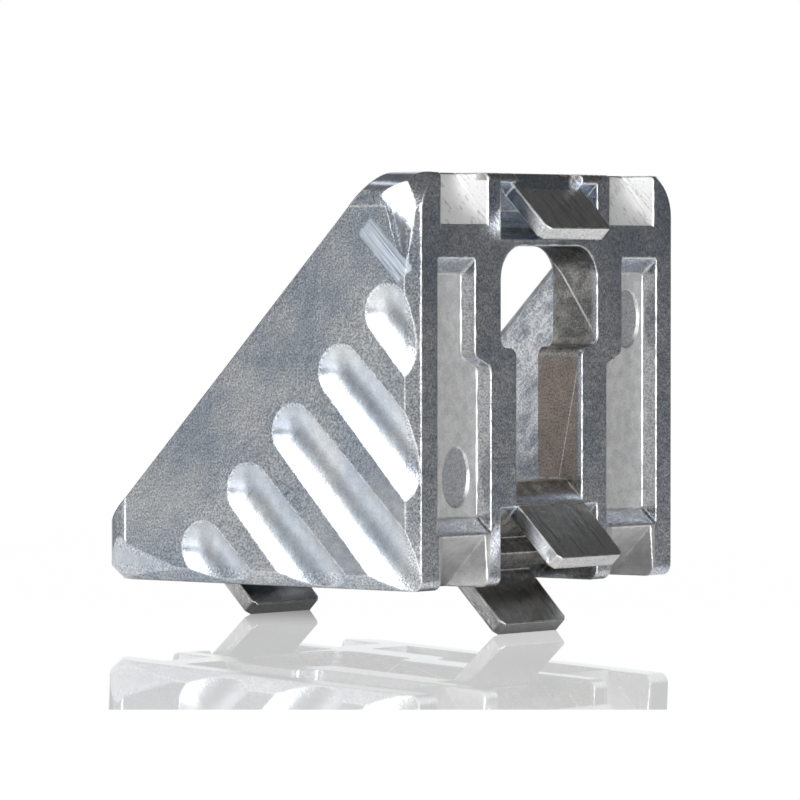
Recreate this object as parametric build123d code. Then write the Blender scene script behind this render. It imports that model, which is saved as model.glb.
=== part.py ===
from build123d import *
from math import radians, sqrt, tan
import os

# Die-cast corner bracket for slotted 40 mm profile: one casting, one solid, millimetres.
#
# Frame: the two mounting faces meet in the Y axis, at mid width. Face A is the plane X = 0 and looks
# along +X; face B is the plane Z = 0 and looks along -Z. The body fills X <= 0, Z >= 0. The part is a
# mirror image of itself in Y = 0 and, but for its lugs, in the plane through the Y axis that swaps
# the two faces.
#
# The die opens along the draw, the direction from the free edge of the side walls to the corner, so
# lugs, windows, pits, notches and flutes all run along it. They are drawn on the DRAW plane: s runs
# along the draw, out of the corner, y runs across the part, and the outline is extruded along t.

# ---- the body ----
LEG = 38.0              # length of each leg, along its mounting face
FACE_W = 38.0           # width of each mounting face
BODY_W = 40.0           # width over the ends of the legs
BAND_W = 3.1            # band round each leg's end
BAND_STEP = 0.1         # by which it stands out of the side walls
SIDE_DRAFT = 0.009      # the side walls come in by this much each per millimetre to the corner
BEVEL_X = 1.3           # depth of the bevelled strip between a mounting face and the side walls
END_T = 4.6             # depth of the flat end of each leg
SHOULDER_R = 0.8        # round from the end of a leg to the free edge
TIP_R = 0.5             # round from the end of a leg to its mounting face
END_R = 2.6             # corner radius of a leg's end, from side wall to end
FACE_R = 4.0            # corner radius of a mounting face at the leg's end
END_LIFT = 0.1          # that outline stands this far past the end, whose edge is rounded off
FACET_X = 3.5           # the blend of an end corner starts on the side wall at this depth from the face
FACET_Z = 2.5           # and this far from the end of the leg
FACET_NORMAL = (0.207, 0.976, 0.058)    # the way it faces
BRIM = 0.9              # bevel of the side walls' free edge, inside
CORNER_R = 0.9          # round of the edge where the two faces meet

# ---- the cavity between plates and side walls ----
PLATE_T = 5.2           # thickness of the two slotted plates
SIDE_T = 3.2            # thickness of a side wall at its free edge
CAVITY_DRAFT = 0.018    # the cavity narrows by this much a side for each millimetre to the corner
CAVITY_R = 1.6          # inside round between plate and side wall

# ---- keyhole slot ----
SLOT_W = 10.0           # narrow part
SLOT_WIDE_W = 14.7      # wide part
SLOT_END = 6.7          # from its far end to the end of the leg
SLOT_STEP = 21.9        # where it narrows
SILL_X = 1.9            # depth of the sloping sill at the near end
SLOT_R = 3.1            # corner radius of the far end
STEP_ROUND = 0.41       # rounds of the step, as a share of the step's width

# ---- channel beside the slot ----
RAIL_W = 2.35           # rail along each side of a mounting face
LAND_W = 3.8            # land left round the slot
CHANNEL_D = 1.5         # depth
CHANNEL_END = 7.8       # from its far end to the end of the leg
CHANNEL_STEP = 21.15    # where it follows the slot inward
STEP_RUN = 0.95         # how far that step slopes
CHANNEL_STEP_R = 0.8    # rounds of that step
CHANNEL_R = 0.25        # its corners
CHANNEL_TAPER = 8.0     # taper of its side walls, degrees

# ---- notches at the corner, pits at the ends ----
NOTCH_LEG = 4.8         # corner notch, measured along each mounting face
NOTCH_LAND = 0.2        # sliver of face between corner notch and channel
RIB_W = 1.9             # rib between window and notch, at its crest
POCKET_RAIL = 2.8       # rail beside notches and pits
TAPER = 0.12            # their side walls come in by this much per millimetre of depth
PIT_LEG = 4.85          # pit, measured along the mounting face from the end of the leg
PIT_END = 3.7           # and along the end from the mounting face

# ---- windows ----
END_SILL = 6.15         # end window: from the end of the leg to where its lower wall meets the face
END_HEAD = 0.85         # and to where its back wall does
ROOT_HEAD = 7.25        # corner window: where its back wall meets the face
BAR_T = 1.8             # bar in the corner window, between the two inner lugs
BAR_FACE = 4.55         # its front, carried on to the mounting face, would meet it here

# ---- lugs that key into the profile's slot ----
LUG_W = 10.0            # width at the root
LUG_TAPER = 0.02        # each side comes in by this much per millimetre of length
LUG_T = 1.4             # thickness
LUG_CORNER = 0.45       # cut off the corners of a lug's tip
INNER_LUG = 7.6         # inner lug: where its upper side meets the face
INNER_LUG_SHIFT = 0.35  # the inner lug of face B lies this much nearer the corner
OUTER_LUG = 1.45        # outer lug: from the end of the leg to where its upper side meets the face
INNER_REACH_A = 4.95    # how far each stands out of its mounting face
INNER_REACH_B = 4.65
OUTER_REACH_A = 3.65
OUTER_REACH_B = 3.9

# ---- flutes in the side walls ----
FLUTE_PITCH = 7.8
FLUTE_PAIRS = 2         # flutes on each side of the middle one
FLUTE_R = 6.6           # radius of the round section
FLUTE_D = 0.75          # depth at the bevelled strip
FLUTE_D_END = 0.52      # depth near the blind end
FLUTE_END = 22.45       # the blind ends lie this far from the corner along the draw
FLUTE_BLEND = 2.31      # length of a blind end, which runs out in a ball

# ---- ejector pin marks in two channel floors ----
PIN_D = 3.9             # the pin
PIN_MARK = 0.2          # depth of its mark
LOW_PIN = (-12.1, 10.1)     # across the part, up from the corner
HIGH_PIN = (13.9, 24.4)

R2 = sqrt(2)
SLOT_TOP = LEG - SLOT_END
STEP_R = STEP_ROUND * (SLOT_WIDE_W - SLOT_W) / 2
CHANNEL_TOP = LEG - CHANNEL_END
PIT_START = LEG - PIT_LEG
SILL_Z = LEG - END_SILL
HEAD_Z = LEG - END_HEAD
OUTER_LUG_Z = LEG - OUTER_LUG
HALF_FACE = FACE_W / 2
RAIL_IN = HALF_FACE - RAIL_W
LAND_OUT = SLOT_WIDE_W / 2 + LAND_W
LAND_IN = SLOT_W / 2 + LAND_W
WINDOW_HALF = SLOT_WIDE_W / 2
RIB_OUT = WINDOW_HALF + RIB_W
POCKET_OUT = HALF_FACE - POCKET_RAIL
WALL_Y = BODY_W / 2 - BAND_STEP         # the outside of a side wall, where it meets the band
FREE_EDGE = -(LEG + END_T) / R2         # s of the free edge of the side walls
TAPER_START = -(LEG - BAND_W + BEVEL_X) / R2    # s where they are WALL_Y from mid width
CLEAR = 2 * LEG                         # more than the part's size, for cutters that run out of it
PAST = LEG / 4                          # how far outlines that are open at the corner run past it
SKIM = 0.5                              # how far a cutter stands proud of the face it cuts
NEAR = 0.01                             # within which a corner or an edge counts as found

DRAW = Plane(origin=(0, 0, 0), x_dir=(1, 0, -1), z_dir=(1, 0, 1))


def half_width(s):
    """Half the width over the side walls at s along the draw."""
    return WALL_Y - SIDE_DRAFT * (s - TAPER_START)


def across(profile, half):
    """Extrude an outline given as (x, z) points across the part, half to each side of mid width."""
    face = make_face(Polyline([(x, 0, z) for x, z in profile], close=True))
    return extrude(face, amount=half, dir=(0, 1, 0), both=True)


def along_t(outline, t_low, t_high):
    """Extrude an outline given as (s, y) points across the draw, from one level to another."""
    face = DRAW.offset(t_low) * make_face(Polyline(outline, close=True))
    return extrude(face, amount=t_high - t_low, dir=DRAW.z_dir)


def swap(shape):
    """The same feature on the other mounting face."""
    return mirror(shape, about=DRAW)


def both_faces(shape):
    """A feature of both legs."""
    return shape + swap(shape)


def both_sides(shape):
    """A feature of both sides of mid width."""
    return shape + mirror(shape, about=Plane.XZ)


def outline(points, radius, x):
    """A rounded outline, given as (y, z) points, on the plane at x."""
    face = make_face(Polyline([(x, y, z) for y, z in points], close=True))
    return fillet(face.vertices(), radius)


def corner_of(profile, x, z):
    """The vertex of a side profile nearest to a point."""
    return profile.vertices().sort_by_distance((x, 0, z))[0]


def end_plan():
    """Everything inside the round end of leg A, open past the corner."""
    half = BODY_W / 2
    sides = [(-half, -PAST), (-half, LEG), (half, LEG), (half, -PAST)]
    return extrude(outline(sides, END_R, -CLEAR), amount=CLEAR + SKIM, dir=(1, 0, 0))


def bevels():
    """Everything inside the bevelled strips beside face A: they cross the side walls at BEVEL_X."""
    deep = 2 * BEVEL_X
    ridge = [(z, 2 * half_width(-(z + BEVEL_X) / R2) - HALF_FACE) for z in (-PAST, LEG + deep)]
    wide = [(-y, z) for z, y in ridge] + [(y, z) for z, y in reversed(ridge)]
    top = LEG + END_LIFT
    edge = [(-HALF_FACE, -PAST), (-HALF_FACE, top), (HALF_FACE, top), (HALF_FACE, -PAST)]
    strips = loft([outline(wide, END_R + deep, -deep), outline(edge, FACE_R, 0)], ruled=True)
    return strips + Pos(-deep - CLEAR / 2, 0, LEG / 2) * Box(CLEAR, CLEAR, CLEAR)


def facet():
    """The flat that blends a leg's rounded end corner into its strip, on the +Y side of face A."""
    spot = Plane(origin=(-FACET_X, WALL_Y, LEG - FACET_Z), z_dir=FACET_NORMAL)
    return extrude(spot * Rectangle(BODY_W, BODY_W), amount=LEG)


def body():
    """The outer block: a square cut off at 45 degrees, tapered along the draw, with banded ends."""
    profile = make_face(Polyline([(0, 0, 0), (0, 0, LEG), (-END_T, 0, LEG), (-LEG, 0, END_T),
                                  (-LEG, 0, 0)], close=True))
    profile = fillet(corner_of(profile, -END_T, LEG), SHOULDER_R)
    profile = fillet(corner_of(profile, -LEG, END_T), SHOULDER_R)
    profile = fillet(corner_of(profile, 0, LEG), TIP_R)
    profile = fillet(corner_of(profile, -LEG, 0), TIP_R)
    profile = fillet(corner_of(profile, 0, 0), CORNER_R)
    block = extrude(profile, amount=BODY_W, dir=(0, 1, 0), both=True)
    wide = half_width(FREE_EDGE - SKIM)
    tight = half_width(SKIM)
    taper = along_t([(FREE_EDGE - SKIM, -wide), (SKIM, -tight), (SKIM, tight), (FREE_EDGE - SKIM, wide)],
                    -CLEAR, CLEAR)
    band = Pos(0, 0, LEG - BAND_W + CLEAR / 2) * Box(CLEAR, CLEAR, CLEAR)
    block = block & (taper + both_faces(band))
    plan = end_plan() & bevels()
    return (block & plan & swap(plan)) - both_faces(both_sides(facet()))


def cavity():
    """The hollow between the two plates and the two side walls, open along the draw."""
    mouth = BODY_W / 2 - SIDE_T
    root = mouth + CAVITY_DRAFT * FREE_EDGE
    wedge = along_t([(FREE_EDGE - SKIM, -mouth), (0, -root), (0, root), (FREE_EDGE - SKIM, mouth)],
                    -CLEAR, CLEAR)
    square = across([(-PLATE_T, PLATE_T), (-PLATE_T, CLEAR), (-CLEAR, CLEAR), (-CLEAR, PLATE_T)], CLEAR)
    hollow = wedge & square
    inside = [e for e in hollow.edges() if e.center().X > -CLEAR + 1 and e.center().Z < CLEAR - 1]
    inside = [e for e in inside if abs(e.center().X + PLATE_T) < NEAR or abs(e.center().Z - PLATE_T) < NEAR]
    return fillet(inside, CAVITY_R)


def brim():
    """The bevel along the inside of a side wall's free edge, on the +Y side."""
    mouth = BODY_W / 2 - SIDE_T
    inner = mouth - SKIM
    outer = mouth + BRIM
    return along_t([(FREE_EDGE - SKIM, inner), (FREE_EDGE - SKIM, outer + SKIM), (FREE_EDGE, outer),
                    (FREE_EDGE + BRIM + SKIM, inner)], -CLEAR, CLEAR)


def slot():
    """The keyhole slot of plate A: wide at the far end, with a sloping sill over the inner lug."""
    low = INNER_LUG - CLEAR
    wide = SLOT_WIDE_W / 2
    slim = SLOT_W / 2
    hole = make_face(Polyline([(0, -slim, low), (0, -slim, SLOT_STEP), (0, -wide, SLOT_STEP),
                               (0, -wide, SLOT_TOP), (0, wide, SLOT_TOP), (0, wide, SLOT_STEP),
                               (0, slim, SLOT_STEP), (0, slim, low)], close=True))
    hole = fillet([v for v in hole.vertices() if v.Z > SLOT_TOP - 1], SLOT_R)
    hole = fillet([v for v in hole.vertices() if abs(v.Z - SLOT_STEP) < NEAR], STEP_R)
    hole = extrude(hole, amount=CLEAR, dir=(1, 0, 0), both=True)
    sill = INNER_LUG + SILL_X
    above = across([(SKIM, INNER_LUG - SKIM), (-SILL_X, sill), (-CLEAR, sill), (-CLEAR, CLEAR),
                    (SKIM, CLEAR)], CLEAR)
    thickness = across([(SKIM, 0), (SKIM, CLEAR), (-PLATE_T - CAVITY_R, CLEAR), (-PLATE_T - CAVITY_R, 0)],
                       CLEAR)
    return hole & above & thickness


def channel():
    """The channel between the slot's land and the rail, on the +Y side of face A."""
    side = CHANNEL_D * tan(radians(CHANNEL_TAPER))
    low = NOTCH_LEG + NOTCH_LAND
    rings = []
    for x, inset, shift in ((-CHANNEL_D, side, CHANNEL_D), (SKIM, -side * SKIM / CHANNEL_D, -SKIM)):
        bend = CHANNEL_STEP - STEP_RUN
        points = [(RAIL_IN - inset, CHANNEL_TOP - shift), (RAIL_IN - inset, low + shift),
                  (LAND_IN + inset, low + shift), (LAND_IN + inset, bend),
                  (LAND_OUT + inset, CHANNEL_STEP), (LAND_OUT + inset, CHANNEL_TOP - shift)]
        ring = make_face(Polyline([(x, y, z) for y, z in points], close=True))
        ring = fillet([v for v in ring.vertices() if bend - NEAR < v.Z < CHANNEL_STEP + NEAR],
                      CHANNEL_STEP_R)
        ring = fillet([v for v in ring.vertices() if v.Z < low + shift + NEAR
                       or v.Z > CHANNEL_TOP - shift - NEAR], CHANNEL_R)
        rings.append(ring)
    return loft(rings, ruled=True)


def pin_mark(y, z):
    """The oval print of an ejector pin, which meets the channel's floor at 45 degrees."""
    s = (-CHANNEL_D - z) / R2
    pin = DRAW.offset((z - CHANNEL_D) / R2)
    pin = Plane(origin=pin.from_local_coords((s, y, 0)), z_dir=DRAW.x_dir)
    rod = extrude(pin * Circle(PIN_D / 2), amount=PIN_D, both=True)
    slab = Pos(-CHANNEL_D, y, z) * Box(2 * PIN_MARK, CLEAR, CLEAR)
    return rod & slab


def corner_notch():
    """The notch at the corner, between rib and rail: its floor runs square to the draw."""
    s = -NOTCH_LEG / R2
    rise = TAPER * (SKIM - s)
    inside = RIB_OUT - TAPER * s
    outside = POCKET_OUT + TAPER * s
    return along_t([(s, inside), (SKIM, inside - rise), (SKIM, outside + rise), (s, outside)],
                   -CLEAR, CLEAR)


def end_pit():
    """The pit in a leg's end, between rib and rail, open to the face and to the end."""
    rings = []
    for x in (SKIM, -2 * PIT_END):
        inside = RIB_OUT - TAPER * x
        outside = POCKET_OUT + TAPER * x
        rings.append(make_face(Polyline([(x, inside, 0), (x, outside, 0), (x, outside, CLEAR),
                                         (x, inside, CLEAR)], close=True)))
    slope = PIT_LEG / PIT_END
    above = across([(SKIM, PIT_START - slope * SKIM), (-2 * PIT_END, PIT_START + 2 * PIT_LEG),
                    (SKIM, PIT_START + 2 * PIT_LEG)], CLEAR)
    return loft(rings, ruled=True) & above


def end_window():
    """The window in leg A's end, which lets the die form the outer lug's underside."""
    sill = SILL_Z / R2
    head = -HEAD_Z / R2
    return along_t([(head, -WINDOW_HALF), (CLEAR, -WINDOW_HALF), (CLEAR, WINDOW_HALF),
                    (head, WINDOW_HALF)], sill, CLEAR)


def corner_window():
    """The window at the corner, with a bar left in it between the two inner lugs."""
    head = -ROOT_HEAD / R2
    front = -BAR_FACE / R2
    gap = along_t([(head, -WINDOW_HALF), (CLEAR, -WINDOW_HALF), (CLEAR, WINDOW_HALF),
                   (head, WINDOW_HALF)], -CLEAR, CLEAR)
    bar = along_t([(head, -CLEAR), (front, -CLEAR), (front, CLEAR), (head, CLEAR)], -BAR_T / 2, BAR_T / 2)
    return gap - bar


def lug(top, reach, root):
    """A lug on face A. top is where its upper side meets the face, root where its back end lies."""
    tip = (2 * reach - top) / R2
    back = -root / R2
    half = LUG_W / 2
    slim = half - LUG_TAPER * (tip - back)
    face = DRAW.offset(top / R2 - LUG_T) * make_face(Polyline([(back, -half), (tip, -slim), (tip, slim),
                                                               (back, half)], close=True))
    tips = face.vertices().group_by(Axis.X)[-1]
    return extrude(chamfer(tips, LUG_CORNER), amount=LUG_T, dir=DRAW.z_dir)


def lug_top(top):
    """What has to go above an outer lug, so that its upper side runs on to the leg's end."""
    half = LUG_W / 2
    return along_t([(-CLEAR, -half), (CLEAR, -half), (CLEAR, half), (-CLEAR, half)], top / R2, CLEAR)


def flute(t):
    """One flute in the +Y side wall: a round groove that deepens towards the corner."""
    start = -FLUTE_END + FLUTE_BLEND
    fall = FLUTE_D - FLUTE_D_END
    end = Vector(*DRAW.from_local_coords((start, half_width(start) + FLUTE_R - FLUTE_D_END, t)))
    out = Vector(*DRAW.from_local_coords((0, half_width(0) + FLUTE_R - FLUTE_D_END - fall, t)))
    rod = Plane(origin=end, z_dir=out - end) * Circle(FLUTE_R)
    return extrude(rod, amount=CLEAR / 2) + Pos(end) * Sphere(FLUTE_R)


bracket = body() - cavity() - both_sides(brim())
bracket -= both_faces(slot())
bracket -= both_faces(both_sides(channel()))
bracket -= both_sides(corner_notch())
bracket -= both_faces(both_sides(end_pit()))
bracket -= both_faces(end_window())
bracket -= corner_window()
bracket -= both_faces(lug_top(OUTER_LUG_Z))
for number in range(-FLUTE_PAIRS, FLUTE_PAIRS + 1):
    bracket -= both_sides(flute(number * FLUTE_PITCH))
bracket += lug(INNER_LUG, INNER_REACH_A, ROOT_HEAD)
bracket += swap(lug(INNER_LUG - INNER_LUG_SHIFT, INNER_REACH_B, ROOT_HEAD))
bracket += lug(OUTER_LUG_Z, OUTER_REACH_A, HEAD_Z)
bracket += swap(lug(OUTER_LUG_Z, OUTER_REACH_B, HEAD_Z))
bracket -= both_faces(pin_mark(*LOW_PIN) + pin_mark(*HIGH_PIN))

os.makedirs("parts", exist_ok=True)
export_step(bracket, "parts/corner_bracket.step")
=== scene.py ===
import math

import bpy
from mathutils import Matrix, Vector

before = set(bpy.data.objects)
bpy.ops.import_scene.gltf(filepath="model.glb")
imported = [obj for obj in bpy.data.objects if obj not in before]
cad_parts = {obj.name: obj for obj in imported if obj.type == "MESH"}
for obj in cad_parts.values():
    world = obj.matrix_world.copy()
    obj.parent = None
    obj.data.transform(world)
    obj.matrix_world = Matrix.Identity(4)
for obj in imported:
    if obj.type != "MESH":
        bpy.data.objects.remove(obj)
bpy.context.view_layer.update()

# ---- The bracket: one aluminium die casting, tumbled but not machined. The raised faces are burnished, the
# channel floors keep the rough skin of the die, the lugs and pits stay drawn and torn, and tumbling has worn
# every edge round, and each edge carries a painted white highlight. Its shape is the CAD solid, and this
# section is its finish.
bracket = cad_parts["corner_bracket"]
MM = 0.001              # m
CHANNEL_D = 1.5         # mm, depth of the channel floors below the mounting faces
CHANNEL = (8.9, 16.4, 0.1)  # mm from mid width, a channel's sides and half the width of its border
EDGE = 0.25             # mm, the round that tumbling leaves on an edge, on average
GRAIN = 5.5             # per mm; the real grain is finer than this, and is drawn as coarse as has to show
WAVES = 0.9             # per mm, the slow waviness of the skin, 1.1 mm across
STAINS = 0.45           # per mm, blotches where the die was sprayed, 2.2 mm across
CLOUDS = 0.16           # per mm, broad changes of gloss and tint, 6 mm across
STREAKS = 1.6           # per mm, before they are drawn out
RUBS = 1.1              # per mm, before they are drawn out
GRAIN_DEPTH = 0.010     # mm
WAVE_DEPTH = 0.030      # mm
TORN = 2.5              # by how much deeper the relief of torn skin is
HARD = 0.001            # mm, half the width of a border that should look sharp
FACET = (0.207, -0.976, 0.058)  # the way the flat facet faces at the end of the standing leg, at -Y
FACET_MATCH = 0.998     # a surface this close to that direction belongs to a facet
FACET_START = 27.0      # mm, height above which it lies
SMOOTH = {"interpolation_type": "SMOOTHSTEP"}


def linear(code):
    """An sRGB hex code as a linear RGBA colour."""
    parts = [int(code[i:i + 2], 16) / 255 for i in (1, 3, 5)]
    return [c / 12.92 if c <= 0.04045 else ((c + 0.055) / 1.055) ** 2.4 for c in parts] + [1.0]


def add(tree, kind, settings=None, *values, output=None, **links):
    """Adds a node and gives back one of its outputs, the first unless another is named. settings sets its
    properties; values go to its inputs in order and links to its inputs by name, as numbers or outputs."""
    node = tree.nodes.new("ShaderNode" + kind)
    for name, value in (settings or {}).items():
        setattr(node, name, value)
    pairs = list(zip([socket for socket in node.inputs if socket.enabled], values))
    pairs += [(node.inputs[name.replace("_", " ")], value) for name, value in links.items()]
    for socket, value in pairs:
        if isinstance(value, bpy.types.NodeSocket):
            tree.links.new(value, socket)
        else:
            socket.default_value = value
    found = [socket for socket in node.outputs if socket.enabled and output in (None, socket.name)]
    return found[0] if found else node


def both(tree, first, *others):
    """1 only where every mask is 1."""
    for other in others:
        first = add(tree, "Math", {"operation": "MULTIPLY"}, first, other)
    return first


def either(tree, first, *others):
    """1 where any of the masks is 1."""
    for other in others:
        first = add(tree, "Math", {"operation": "MAXIMUM"}, first, other)
    return first


def between(tree, value, low, high, soft):
    """1 where value lies between low and high, with soft borders. An end that is None is left open."""
    ends = []
    if low is not None:
        ends.append(add(tree, "MapRange", SMOOTH, value, low - soft, low + soft))
    if high is not None:
        ends.append(add(tree, "MapRange", SMOOTH, value, high - soft, high + soft, 1.0, 0.0))
    return both(tree, *ends)


cast = bpy.data.materials.new("tumbled aluminium die casting")
cast.use_nodes = True
tree = cast.node_tree
tree.nodes.clear()

# Where a place lies on the bracket, in mm. Both legs are measured alike: depth goes in from the mounting
# face, reach goes out from the corner, side is the distance from mid width; along and across the die's draw.
mm = add(tree, "VectorMath", {"operation": "SCALE"}, add(tree, "TexCoord", output="Object"), 1 / MM)
x, y, z = add(tree, "SeparateXYZ", None, mm).node.outputs
back = add(tree, "Math", {"operation": "MULTIPLY"}, x, -1.0)
side = add(tree, "Math", {"operation": "ABSOLUTE"}, y)
depth = add(tree, "Math", {"operation": "MINIMUM"}, back, z)
reach = add(tree, "Math", {"operation": "MAXIMUM"}, back, z)
half = math.sqrt(0.5)
along = add(tree, "VectorMath", {"operation": "DOT_PRODUCT"}, mm, (half, 0.0, -half))
across = add(tree, "VectorMath", {"operation": "DOT_PRODUCT"}, mm, (half, 0.0, half))
measures = {"y": y, "z": z, "side": side, "depth": depth, "reach": reach, "along": along, "across": across}


def zone(tree, **ranges):
    """1 where each measure lies in its range, given as low, high and half the width of its border."""
    return both(tree, *(between(tree, measures[name], *ends) for name, ends in ranges.items()))


def off_line(tree, start, end):
    """How far a place lies from the line through two places, each given as its depth and reach."""
    run = Vector(end) - Vector(start)
    normal = Vector((run.y, -run.x)).normalized()
    part = add(tree, "Math", {"operation": "MULTIPLY_ADD"}, reach, normal.y, -normal.dot(Vector(start)))
    return add(tree, "Math", {"operation": "MULTIPLY_ADD"}, depth, normal.x, part)


# the channel floors, and the round marks that the ejector pins left in them
skin = zone(tree, side=CHANNEL, depth=(CHANNEL_D - 0.15, CHANNEL_D + 0.3, 0.04), reach=(5.0, 30.0, 0.2))
pin = zone(tree, side=CHANNEL, depth=(CHANNEL_D + 0.08, CHANNEL_D + 0.4, 0.03), reach=(5.2, 32.0, 0.1))
# the walls of the slots and windows, and the cavity behind them, which tumbling doesn't reach; their darker
# colour is partly their unburnished skin and partly painted shade of the recess
slots = zone(tree, side=(None, 8.2, HARD), depth=(0.5, None, 0.3))
cavity = zone(tree, side=(None, 17.5, HARD), depth=(3.0, None, 0.3))
inner = both(tree, either(tree, slots, cavity), zone(tree, reach=(None, 33.0, HARD)))
deep = both(tree, inner, zone(tree, depth=(5.2, None, 0.1)))
# the walls of the narrow slots, which are coloured brown
brown_walls = zone(tree, side=(None, 5.3, HARD), depth=(0.6, 5.2, 0.2), reach=(9.6, 20.8, 0.4))
# the thin seams that cross the slots' walls where two cores met, painted white as a highlight line
wide_seam = between(tree, off_line(tree, (5.70, 30.96), (0.65, 23.64)), -0.10, 0.10, 0.05)
wide_seam = both(tree, wide_seam, zone(tree, y=(6.0, 7.6, 0.05)), inner)
narrow_seam = between(tree, off_line(tree, (0.40, 20.50), (2.50, 10.60)), -0.05, 0.05, 0.05)
narrow_seam = both(tree, narrow_seam, brown_walls, zone(tree, y=(3.0, None, HARD)))
seam = either(tree, wide_seam, narrow_seam)
# the end pits, the pockets beside the corner, the flutes, and the lugs, which stand out of the faces
# the pits are painted white, partly for their torn skin and partly as painted light
pits = zone(tree, side=(9.2, 16.25, 0.05), depth=(0.1, 5.0, 0.05), reach=(33.1, 37.9, 0.05))
pocket = zone(tree, side=(8.9, 16.45, 0.05), reach=(None, 4.9, HARD))
flute = zone(tree, side=(17.0, 19.78, 0.04), depth=(1.5, None, 0.3))
lugs = zone(tree, depth=(None, -0.05, HARD))
# the two gates broken off the end of each leg, and the scuff that ejection left on the side walls
gate = either(tree, zone(tree, y=(-9.4, -3.7, 0.1)), zone(tree, y=(2.4, 7.9, 0.1)))
gate = both(tree, gate, zone(tree, reach=(37.3, None, HARD), depth=(-0.1, 1.3, 0.1)))
scuff = zone(tree, across=(18.3, 20.3, 0.15), along=(-27.5, -21.2, 0.3), side=(19.5, None, HARD))
# the side walls of the channels, which face across the bracket; they are painted darker, as painted shade on
# walls facing that way
surface = add(tree, "NewGeometry", output="True Normal")
sideways = add(tree, "Math", {"operation": "ABSOLUTE"}, add(tree, "SeparateXYZ", None, surface, output="Y"))
wall = both(tree, add(tree, "Math", {"operation": "GREATER_THAN"}, sideways, 0.6),
            zone(tree, depth=(0.1, 1.45, 0.03), side=(8.0, 17.0, 0.1), reach=(5.2, 32.0, 0.1)))

# Patterns. The seed keeps every face off the noises' whole numbers, where they are flat.
seed = add(tree, "VectorMath", {"operation": "ADD"}, mm, (3.37, 1.91, 2.73))
waves = add(tree, "TexNoise", None, Vector=seed, Scale=WAVES, Detail=2.0, Roughness=0.6)
clouds = add(tree, "TexNoise", None, Vector=seed, Scale=CLOUDS, Detail=2.0, Roughness=0.55)
grain = add(tree, "TexNoise", None, Vector=seed, Scale=GRAIN, Detail=2.0, Roughness=0.7)
stains = add(tree, "TexNoise", None, Vector=seed, Scale=STAINS, Detail=4.0, Roughness=0.7)
# streaks are drawn out along the die's draw, 5 mm long and 0.2 mm wide; rubs across it, 4 mm by 0.9 mm
pulled = add(tree, "CombineXYZ", None, add(tree, "Math", {"operation": "MULTIPLY"}, along, 0.12),
             add(tree, "Math", {"operation": "MULTIPLY"}, across, 3.5), y)
streaks = add(tree, "TexNoise", None, Vector=pulled, Scale=STREAKS, Detail=2.0, Roughness=0.6)
rubbed = add(tree, "CombineXYZ", None, along, add(tree, "Math", {"operation": "MULTIPLY"}, across, 0.22), y)
rubs = add(tree, "TexNoise", None, Vector=rubbed, Scale=RUBS, Detail=3.0, Roughness=0.65)

# Every edge is worn round, here more and there less, and it is painted white along the rounding as a
# highlight.
worn = add(tree, "MapRange", None, waves, 0.35, 0.65, 0.5 * EDGE * MM, 1.5 * EDGE * MM)
rounded = add(tree, "Bevel", {"samples": 4}, worn)
turn = add(tree, "VectorMath", {"operation": "DOT_PRODUCT"}, rounded, surface)
edge = add(tree, "MapRange", SMOOTH, turn, 0.995, 0.95, 0.0, 1.0)

# Gloss: the burnished faces are the smoothest, and each zone has its own roughness.
rough = add(tree, "MapRange", None, clouds, 0.3, 0.7, 0.17, 0.22)
for mask, value in ((skin, 0.62), (inner, 0.38), (pits, 0.75), (lugs, 0.24), (pocket, 0.42), (scuff, 0.55),
                    (edge, 0.30)):
    rough = add(tree, "Mix", {"data_type": "FLOAT"}, mask, rough, value)


def blotches(tree, pattern, low, high, dark, pale):
    """A colour that goes from dark to pale while a pattern goes from low to high."""
    share = add(tree, "MapRange", None, pattern, low, high)
    return add(tree, "Mix", {"data_type": "RGBA"}, share, linear(dark), linear(pale))


# Colour: bare aluminium is a cold pale grey. In the slots it is darker, partly for its unburnished skin and
# partly as painted shade of the recess; it is bluish in the cavity and brown on the narrow slots' walls. The
# channels' side walls carry painted shade, the seams and worn edges carry painted white highlights, and the
# torn pits are white, partly painted light.
tint = blotches(tree, clouds, 0.38, 0.62, "#c6cfdb", "#dfe3e7")
dull_and_shaded = blotches(tree, stains, 0.42, 0.60, "#8b8a88", "#bfbdba")
brown = blotches(tree, stains, 0.0, 1.0, "#8c7d74", "#e2d4c8")
mottle = add(tree, "Math", {"operation": "ADD"}, rubs, stains)
blued = blotches(tree, mottle, 0.84, 1.12, "#b0b6c1", "#eef1f5")
colour = tint
for mask, value in (
        (skin, linear("#e8e8e8")),
        (inner, dull_and_shaded),
        (deep, blued),
        (brown_walls, brown),
        (seam, linear("#ffffff")),
        (pits, linear("#ffffff")),
        (lugs, linear("#d6d6d6")),
        (gate, linear("#b8b8b8")),
        (pocket, linear("#e9e9e9")),
        (pin, linear("#c3c5c8")),
        (wall, linear("#b9babc")),
        (edge, linear("#ffffff"))):
    colour = add(tree, "Mix", {"data_type": "RGBA"}, mask, colour, value)

# Speckle darkens and lightens the colour: on the faces it follows the grain, partly the metal's own tone and
# partly painted shade and light of the grain's tiny dents; calm on smooth skin, streaks on drawn metal.
speck = add(tree, "MapRange", None, grain, 0.32, 0.64, 0.48, 1.30)
calm = add(tree, "MapRange", None, waves, 0.35, 0.65, 0.84, 1.04)
crack = add(tree, "MapRange", None, streaks, 0.34, 0.46, 0.70, 1.12)
scratch = add(tree, "MapRange", None, streaks, 0.38, 0.60, 0.62, 1.25)
quiet = add(tree, "Math", {"operation": "MULTIPLY_ADD"}, pin, -0.5, 0.8)
quiet = both(tree, either(tree, skin, flute, pocket), quiet)
drawn = add(tree, "Math", {"operation": "MULTIPLY"}, either(tree, pits, lugs), 0.65)
for mask, value in ((quiet, calm), (drawn, crack), (scuff, scratch)):
    speck = add(tree, "Mix", {"data_type": "FLOAT"}, mask, speck, value)
colour = add(tree, "VectorMath", {"operation": "SCALE"}, colour, speck)

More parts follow.
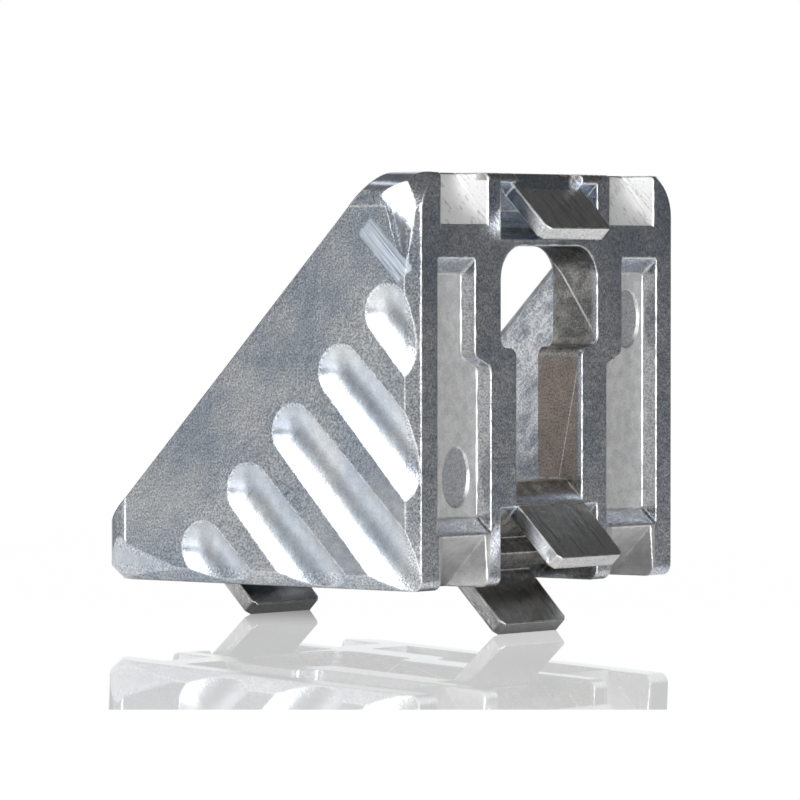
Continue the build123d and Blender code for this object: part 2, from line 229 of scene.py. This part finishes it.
# Relief: waviness and grain, deeper on torn skin and shallower in the flutes.
torn = either(tree, pits, add(tree, "Math", {"operation": "MULTIPLY"}, lugs, 0.5), gate)
deeper = add(tree, "Math", {"operation": "MULTIPLY_ADD"}, flute, -0.5, 1.0)
deeper = add(tree, "Math", {"operation": "MULTIPLY_ADD"}, torn, TORN, deeper)
height = add(tree, "Math", {"operation": "MULTIPLY"}, grain, GRAIN_DEPTH * MM)
height = add(tree, "Math", {"operation": "MULTIPLY_ADD"}, waves, WAVE_DEPTH * MM, height)
height = add(tree, "Math", {"operation": "MULTIPLY"}, height, deeper)
relief = add(tree, "Bump", None, Strength=1.0, Distance=1.0, Height=height, Normal=rounded)
# the end facet is crowned, so its lower part turns into the side wall
facet = add(tree, "VectorMath", {"operation": "DOT_PRODUCT"}, surface, FACET)
facet = add(tree, "Math", {"operation": "GREATER_THAN"}, facet, FACET_MATCH)
crown = add(tree, "Math", {"operation": "MULTIPLY_ADD"}, x, 0.9, z)
crown = add(tree, "MapRange", SMOOTH, crown, 33.4, 31.4, 0.0, -0.20)
crown = both(tree, crown, facet, zone(tree, z=(FACET_START, None, HARD)))
relief = add(tree, "VectorMath", {"operation": "ADD"}, relief, add(tree, "CombineXYZ", None, crown))
relief = add(tree, "VectorMath", {"operation": "NORMALIZE"}, relief)
metal = add(tree, "BsdfPrincipled", None, Metallic=1.0, Roughness=rough, Base_Color=colour, Normal=relief)
add(tree, "OutputMaterial", None, metal)
bracket.material_slots[0].material = cast

# ---- The floor: a sheet of glossy white acrylic. The bracket stands on its two lower lugs, of which one is
# longer, so the sheet is set to touch both. It is white to the eye. Where the metal mirrors it, it shows a
# painted shadow of the bracket and a painted dimming far off, and it carries a mirror image that is
# strongest behind the bracket and ends in front of it.
SHEET = 6.0                     # m, its length and width
LONG_LUG = (-2.6, -4.65)        # mm, x and z of the longer lug's tip
SHORT_LUG = (-32.65, -3.9)      # mm, the shorter one's
LEG = 38.0                      # mm, length of the bracket's foot
WIDTH = 40.0                    # mm, and its width
FRONT = (0.775, -0.632, 0.0)    # the way towards the viewer
IMAGE_END = (73.9, 74.5)        # mm in front of the corner, where the sheet's mirror image ends
MIRROR_BACK = 0.85              # share of the mirror image behind the bracket
MIRROR = 0.45                   # and under it
SHADE_UNDER = 0.11              # brightness of the sheet under the bracket, as the metal mirrors it
SHADE_BESIDE = 0.80             # at its outline
SHADE_AWAY = 0.98               # and well away from it

bpy.ops.mesh.primitive_plane_add(size=SHEET, location=(0, 0, 0))
floor = bpy.context.object
floor.name = "floor"
lean = math.atan2(SHORT_LUG[1] - LONG_LUG[1], LONG_LUG[0] - SHORT_LUG[0])
touch = Matrix.Translation((LONG_LUG[0] * MM, 0, LONG_LUG[1] * MM))
floor.data.transform(touch @ Matrix.Rotation(lean, 4, "Y"))

sheet = bpy.data.materials.new("glossy white acrylic sheet")
sheet.use_nodes = True
tree = sheet.node_tree
tree.nodes.clear()
mm = add(tree, "VectorMath", {"operation": "SCALE"}, add(tree, "TexCoord", output="Object"), 1 / MM)
x, y, z = add(tree, "SeparateXYZ", None, mm).node.outputs

# distance outside the bracket's outline, in mm, and the painted shade under and around the bracket that the
# metal mirrors
beyond_x = add(tree, "Math", {"operation": "ADD"}, x, LEG / 2)
beyond_x = add(tree, "Math", {"operation": "ABSOLUTE"}, beyond_x)
beyond_x = add(tree, "Math", {"operation": "SUBTRACT"}, beyond_x, LEG / 2)
beyond_y = add(tree, "Math", {"operation": "ABSOLUTE"}, y)
beyond_y = add(tree, "Math", {"operation": "SUBTRACT"}, beyond_y, WIDTH / 2)
outside = add(tree, "Math", {"operation": "MAXIMUM"}, beyond_x, beyond_y)
shade = add(tree, "MapRange", SMOOTH, outside, -4.0, 4.0, SHADE_UNDER, SHADE_BESIDE)
shade = add(tree, "MapRange", None, outside, 4.0, 35.0, shade, SHADE_AWAY)
# and a painted dimming of the sheet far off, as the metal mirrors it
far = add(tree, "MapRange", SMOOTH, outside, 45.0, 170.0, 1.0, 0.84)
shade = add(tree, "Math", {"operation": "MULTIPLY"}, shade, far)

# what the eye, the metal and the light each see of the sheet
eye = add(tree, "LightPath", output="Is Camera Ray")
mirrored = add(tree, "LightPath", output="Is Glossy Ray")
white = add(tree, "Emission", None, linear("#ffffff"), 1.0)
shaded = add(tree, "Emission", None, linear("#ffffff"), shade)
acrylic = add(tree, "BsdfDiffuse", None, linear("#f4f4f4"))
seen = add(tree, "MixShader", None, eye, shaded, white)
seen = add(tree, "MixShader", None, either(tree, eye, mirrored), acrylic, seen)

# the share of the mirror image: it fades to the sides, ends in front, and is weaker seen from higher up
ahead = add(tree, "VectorMath", {"operation": "DOT_PRODUCT"}, mm, FRONT)
image = add(tree, "MapRange", SMOOTH, ahead, -36.0, -5.0, MIRROR_BACK, MIRROR)
fade_front = add(tree, "MapRange", SMOOTH, ahead, *IMAGE_END, 1.0, 0.0)
fade_sides = add(tree, "MapRange", SMOOTH, outside, 85.0, 150.0, 1.0, 0.0)
grazing = add(tree, "LayerWeight", None, 0.5, output="Facing")
grazing = add(tree, "MapRange", SMOOTH, grazing, 0.70, 0.90, 0.08, 1.0)
image = both(tree, image, fade_front, fade_sides, grazing)
skim = add(tree, "Fresnel", None, 1.5)
share = add(tree, "Mix", {"data_type": "FLOAT"}, eye, skim, image)
gloss = add(tree, "BsdfGlossy", None, linear("#ffffff"), 0.015)
add(tree, "OutputMaterial", None, add(tree, "MixShader", None, share, seen, gloss))
floor.data.materials.append(sheet)

# ---- The studio: a white backdrop behind, a dim room with soft pale panels around it, and one square soft
# box to the front left. The eye sees the room white; the metal mirrors its panels.
ROOM = 0.045            # brightness of the bare room
# each panel: the way to it, the angles in degrees within which it is full and beyond which it is gone, and
# its strength
PANELS = (
    ((-0.63, 0.78, 0.05), 14, 36, 0.95),    # the backdrop, straight behind the bracket
    ((-0.76, -0.65, 0.0), 8, 34, 0.16),     # left
    ((0.63, 0.77, 0.15), 25, 60, 0.08),     # right
    ((0.30, -0.30, 1.0), 10, 45, 0.14),     # overhead
    ((-0.36, -0.93, 0.02), 5, 18, 0.70),    # front left, low
    ((0.55, -0.83, 0.1), 15, 42, 0.14),     # behind the viewer
    ((0.80, -0.60, 0.08), 7, 17, 4.50),     # a small bright one at the viewer's right hand
    ((-0.80, -0.45, 0.35), 6, 16, 1.20),    # left, raised
    ((0.95, -0.31, 0.1), 12, 30, 2.80),     # front right
    ((-0.60, 0.0, 0.78), 12, 42, 0.14),     # above, to the left
    ((-0.61, -0.22, 0.76), 2, 7, 1.50))     # and a small bright one within it

world = bpy.data.worlds.new("studio")
bpy.context.scene.world = world
world.use_nodes = True
tree = world.node_tree
tree.nodes.clear()
direction = add(tree, "TexCoord", output="Generated")
level = ROOM
for towards, full, gone, strength in PANELS:
    aim = Vector(towards).normalized()
    nearness = add(tree, "VectorMath", {"operation": "DOT_PRODUCT"}, direction, tuple(aim))
    panel = add(tree, "MapRange", SMOOTH, nearness, math.cos(math.radians(gone)),
                math.cos(math.radians(full)), 0.0, strength)
    level = add(tree, "Math", {"operation": "ADD"}, level, panel)
room = add(tree, "Background", None, linear("#ffffff"), level)
white = add(tree, "Background", None, linear("#ffffff"), 1.0)
eye = add(tree, "LightPath", output="Is Camera Ray")
add(tree, "OutputWorld", None, add(tree, "MixShader", None, eye, room, white))

SOFT_BOX = (0.54, 0.56)                 # m, width and height
SOFT_BOX_FAR = 0.7                      # m, from the bracket
SOFT_BOX_WAY = (-0.095, -0.90, 0.43)    # the way to it
SOFT_BOX_POWER = 2.1                    # W
lamp = bpy.data.lights.new("soft box", "AREA")
lamp.shape = "RECTANGLE"
lamp.size, lamp.size_y = SOFT_BOX
lamp.energy = SOFT_BOX_POWER
box = bpy.data.objects.new("soft box", lamp)
bpy.context.collection.objects.link(box)
way = Vector(SOFT_BOX_WAY).normalized()
aimed = way.to_track_quat("Z", "Y").to_matrix().to_4x4()
box.matrix_world = Matrix.Translation(way * SOFT_BOX_FAR) @ aimed

# ---- The camera: a long lens, level with the upper part of the bracket and almost level with the floor.
CAMERA_PLACE = (0.3263, -0.4258, 0.02957)   # m
YAW = math.radians(51.055)                  # from the X axis
PITCH = math.radians(1.34)                  # below level
LENS = 260.2                                # mm
SENSOR = 36.0                               # mm
lens = bpy.data.cameras.new("camera")
lens.lens = LENS
lens.sensor_width = SENSOR
lens.clip_start = 0.01
camera = bpy.data.objects.new("camera", lens)
bpy.context.collection.objects.link(camera)
view = Vector((-math.cos(YAW) * math.cos(PITCH), math.sin(YAW) * math.cos(PITCH), -math.sin(PITCH)))
aimed = view.to_track_quat("-Z", "Y").to_matrix().to_4x4()
camera.matrix_world = Matrix.Translation(CAMERA_PLACE) @ aimed
bpy.context.scene.camera = camera
bpy.context.scene.view_settings.view_transform = "Standard"
